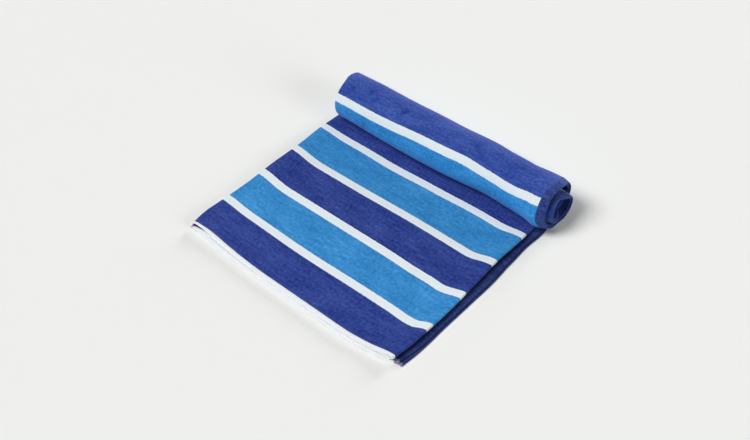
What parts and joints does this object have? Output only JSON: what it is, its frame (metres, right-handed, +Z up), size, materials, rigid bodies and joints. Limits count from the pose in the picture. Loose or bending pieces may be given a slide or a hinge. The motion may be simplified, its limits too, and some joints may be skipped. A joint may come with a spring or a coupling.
{
  "type": "beach towel",
  "caption": "Striped cotton beach towel, folded lengthwise into layers that lie flat at the near edge and are loosely rolled up at the far one.",
  "frame": {"origin": "centre of the bounding box of the folded towel, on the surface it lies on", "axes": "+X along the stripes and along the roll, towards the end hems; +Y from the near side edge towards the roll; +Z up"},
  "size_m": [0.3893, 0.3785, 0.066],
  "materials": {
    "towelling": "cut-pile cotton velour in broad dark and light blue stripes with narrow white ones between, dark blue end hems, white side edges; soft and matt"
  },
  "bodies": {
    "root": {"towel": "towelling"}
  },
  "joints": []
}
